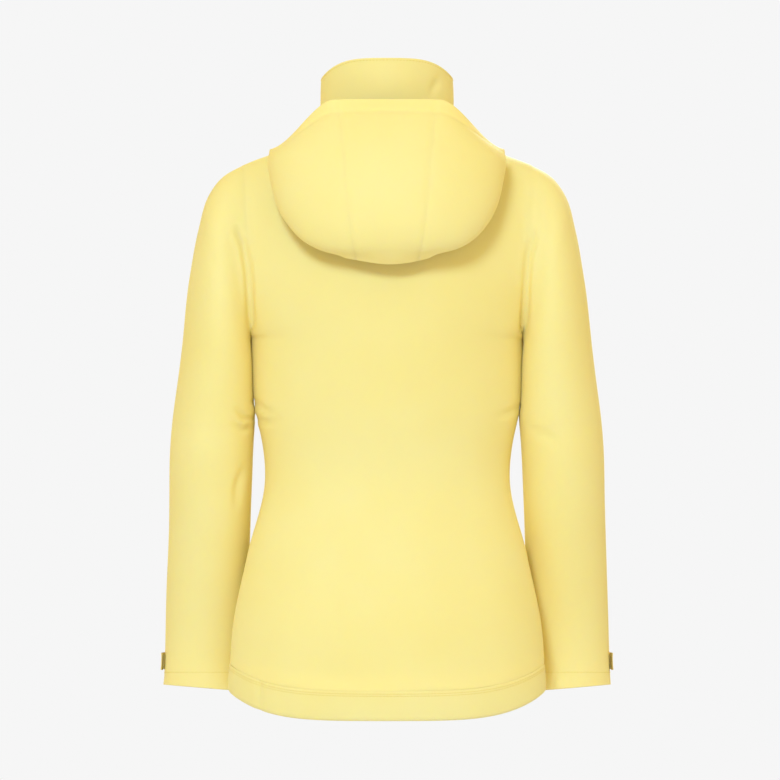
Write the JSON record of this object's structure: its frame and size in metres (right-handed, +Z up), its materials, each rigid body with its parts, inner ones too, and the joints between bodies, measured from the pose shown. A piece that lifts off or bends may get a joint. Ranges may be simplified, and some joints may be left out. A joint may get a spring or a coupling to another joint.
{
  "type": "ski jacket",
  "caption": "Women's hooded shell ski jacket with a stand collar, fitted waist, curved hem, full front zip, zipped pockets and cuff tabs.",
  "frame": {"origin": "underside of the hang loop's arch, inside the back of the neck", "axes": "+Z up along the jacket's back, +Y out of the back, +X to the wearer's left"},
  "size_m": [0.5422, 0.3042, 0.7759],
  "materials": {
    "shell_cloth": "matt woven polyester shell, pale lemon",
    "lining_cloth": "smooth taffeta lining, cream",
    "zip_tape": "woven tape with moulded coil, dyed to match",
    "elastic_cord": "braided cord",
    "trim_plastic": "moulded, satin",
    "loop_cloth": "hook-and-loop pile",
    "zip_metal": "die cast and lacquered to match"
  },
  "bodies": {
    "jacket": {"back_panel": "shell_cloth", "back_lining": "lining_cloth", "chin_guard": "lining_cloth", "collar_lining": "lining_cloth", "collar_shell": "shell_cloth", "hang_loop": "elastic_cord", "hem_casing": "shell_cloth", "hem_drawcord": "elastic_cord", "hood_back_panel": "shell_cloth", "neck_label": "trim_plastic", "powder_skirt": "lining_cloth", "storm_flap": "shell_cloth", "front_panel_L": "shell_cloth", "front_panel_R": "shell_cloth", "front_lining_L": "lining_cloth", "front_lining_R": "lining_cloth", "hand_pocket_bag_L": "lining_cloth", "hand_pocket_bag_R": "lining_cloth", "hand_pocket_zip_L": "zip_tape", "hand_pocket_zip_R": "zip_tape", "hem_cord_lock_L": "trim_plastic", "hem_cord_lock_R": "trim_plastic", "zip_tape_L": "zip_tape", "zip_tape_R": "zip_tape"},
    "upper_sleeve_L": {"upper_sleeve_L": "shell_cloth", "upper_sleeve_lining_L": "lining_cloth"},
    "lower_sleeve_L": {"lower_sleeve_L": "shell_cloth", "cuff_gaiter_L": "lining_cloth", "loop_patch_L": "loop_cloth", "pass_pocket_zip": "zip_tape"},
    "cuff_tab_L": {"cuff_tab_L": "trim_plastic"},
    "upper_sleeve_R": {"upper_sleeve_R": "shell_cloth", "upper_sleeve_lining_R": "lining_cloth"},
    "lower_sleeve_R": {"lower_sleeve_R": "shell_cloth", "cuff_gaiter_R": "lining_cloth", "loop_patch_R": "loop_cloth"},
    "cuff_tab_R": {"cuff_tab_R": "trim_plastic"},
    "hood": {"hood_brim": "shell_cloth", "hood_center_panel": "shell_cloth", "hood_side_panel_L": "shell_cloth", "hood_side_panel_R": "shell_cloth", "hood_lining": "lining_cloth", "hood_drawcord": "elastic_cord", "hood_cord_lock_L": "trim_plastic", "hood_cord_lock_R": "trim_plastic"},
    "main_zip_slider": {"main_zip_slider": "zip_metal"},
    "main_zip_puller": {"main_zip_puller": "zip_metal"},
    "pass_pocket_slider": {"pass_pocket_slider": "zip_metal"},
    "pass_pocket_puller": {"pass_pocket_puller": "zip_metal"},
    "hand_pocket_L_slider": {"hand_pocket_L_slider": "zip_metal"},
    "hand_pocket_L_puller": {"hand_pocket_L_puller": "zip_metal"},
    "hem_cord_lock_L_button": {"hem_cord_lock_L_button": "trim_plastic"},
    "hood_cord_lock_L_button": {"hood_cord_lock_L_button": "trim_plastic"},
    "hand_pocket_R_slider": {"hand_pocket_R_slider": "zip_metal"},
    "hand_pocket_R_puller": {"hand_pocket_R_puller": "zip_metal"},
    "hem_cord_lock_R_button": {"hem_cord_lock_R_button": "trim_plastic"},
    "hood_cord_lock_R_button": {"hood_cord_lock_R_button": "trim_plastic"}
  },
  "joints": [
    {"name": "shoulder_L", "type": "hinge", "parent": "jacket", "child": "upper_sleeve_L", "pos_m": [0.17, -0.048, -0.045], "axis": [0, -1, 0], "range_deg": [0, 80]},
    {"name": "elbow_L", "type": "hinge", "parent": "upper_sleeve_L", "child": "lower_sleeve_L", "pos_m": [0.2065, -0.1096, -0.365], "axis": [-1, 0, 0], "range_deg": [0, 90]},
    {"name": "cuff_tab_peel_L", "type": "hinge", "parent": "lower_sleeve_L", "child": "cuff_tab_L", "pos_m": [0.2687, -0.10537, -0.639], "axis": [0, 0, 1], "range_deg": [0, 110]},
    {"name": "shoulder_R", "type": "hinge", "parent": "jacket", "child": "upper_sleeve_R", "pos_m": [-0.17, -0.048, -0.045], "axis": [0, 1, 0], "range_deg": [0, 80]},
    {"name": "elbow_R", "type": "hinge", "parent": "upper_sleeve_R", "child": "lower_sleeve_R", "pos_m": [-0.2065, -0.1096, -0.365], "axis": [-1, 0, 0], "range_deg": [0, 90]},
    {"name": "cuff_tab_peel_R", "type": "hinge", "parent": "lower_sleeve_R", "child": "cuff_tab_R", "pos_m": [-0.2687, -0.10537, -0.639], "axis": [0, 0, -1], "range_deg": [0, 110]},
    {"name": "hood_swing", "type": "hinge", "parent": "jacket", "child": "hood", "pos_m": [0, -0.138, 0.01], "axis": [1, 0, 0], "range_deg": [0, 88]},
    {"name": "main_zip", "type": "slide", "parent": "jacket", "child": "main_zip_slider", "axis": [0, -0.0674, -0.9977], "range_m": [0, 0.69]},
    {"name": "main_zip_pull", "type": "hinge", "parent": "main_zip_slider", "child": "main_zip_puller", "pos_m": [0, -0.13895, 0.03916], "axis": [-1, 0, 0], "range_deg": [0, 150]},
    {"name": "hand_pocket_zip_slide_L", "type": "slide", "parent": "jacket", "child": "hand_pocket_L_slider", "axis": [0.2873, 0.1409, -0.9474], "range_m": [0, 0.128]},
    {"name": "hand_pocket_pull_L", "type": "hinge", "parent": "hand_pocket_L_slider", "child": "hand_pocket_L_puller", "pos_m": [0.11888, -0.12831, -0.42985], "axis": [-0.5929, -0.7507, -0.2914], "range_deg": [0, 140]},
    {"name": "hand_pocket_zip_slide_R", "type": "slide", "parent": "jacket", "child": "hand_pocket_R_slider", "axis": [-0.2873, 0.1409, -0.9474], "range_m": [0, 0.128]},
    {"name": "hand_pocket_pull_R", "type": "hinge", "parent": "hand_pocket_R_slider", "child": "hand_pocket_R_puller", "pos_m": [-0.11888, -0.12831, -0.42985], "axis": [-0.5929, 0.7507, 0.2914], "range_deg": [0, 140]},
    {"name": "pass_pocket_zip_slide", "type": "slide", "parent": "lower_sleeve_L", "child": "pass_pocket_slider", "axis": [0.0404, -0.2371, -0.9707], "range_m": [0, 0.09]},
    {"name": "pass_pocket_pull", "type": "hinge", "parent": "pass_pocket_slider", "child": "pass_pocket_puller", "pos_m": [0.24682, -0.12361, -0.45363], "axis": [-0.7041, -0.696, 0.1407], "range_deg": [0, 140]},
    {"name": "hem_lock_press_L", "type": "slide", "parent": "jacket", "child": "hem_cord_lock_L_button", "axis": [0, 0, -1], "range_m": [0, 0.003], "stiffness_N_per_m": 600},
    {"name": "hood_lock_press_L", "type": "slide", "parent": "hood", "child": "hood_cord_lock_L_button", "axis": [0, 0, -1], "range_m": [0, 0.003], "stiffness_N_per_m": 600},
    {"name": "hem_lock_press_R", "type": "slide", "parent": "jacket", "child": "hem_cord_lock_R_button", "axis": [0, 0, -1], "range_m": [0, 0.003], "stiffness_N_per_m": 600},
    {"name": "hood_lock_press_R", "type": "slide", "parent": "hood", "child": "hood_cord_lock_R_button", "axis": [0, 0, -1], "range_m": [0, 0.003], "stiffness_N_per_m": 600}
  ]
}
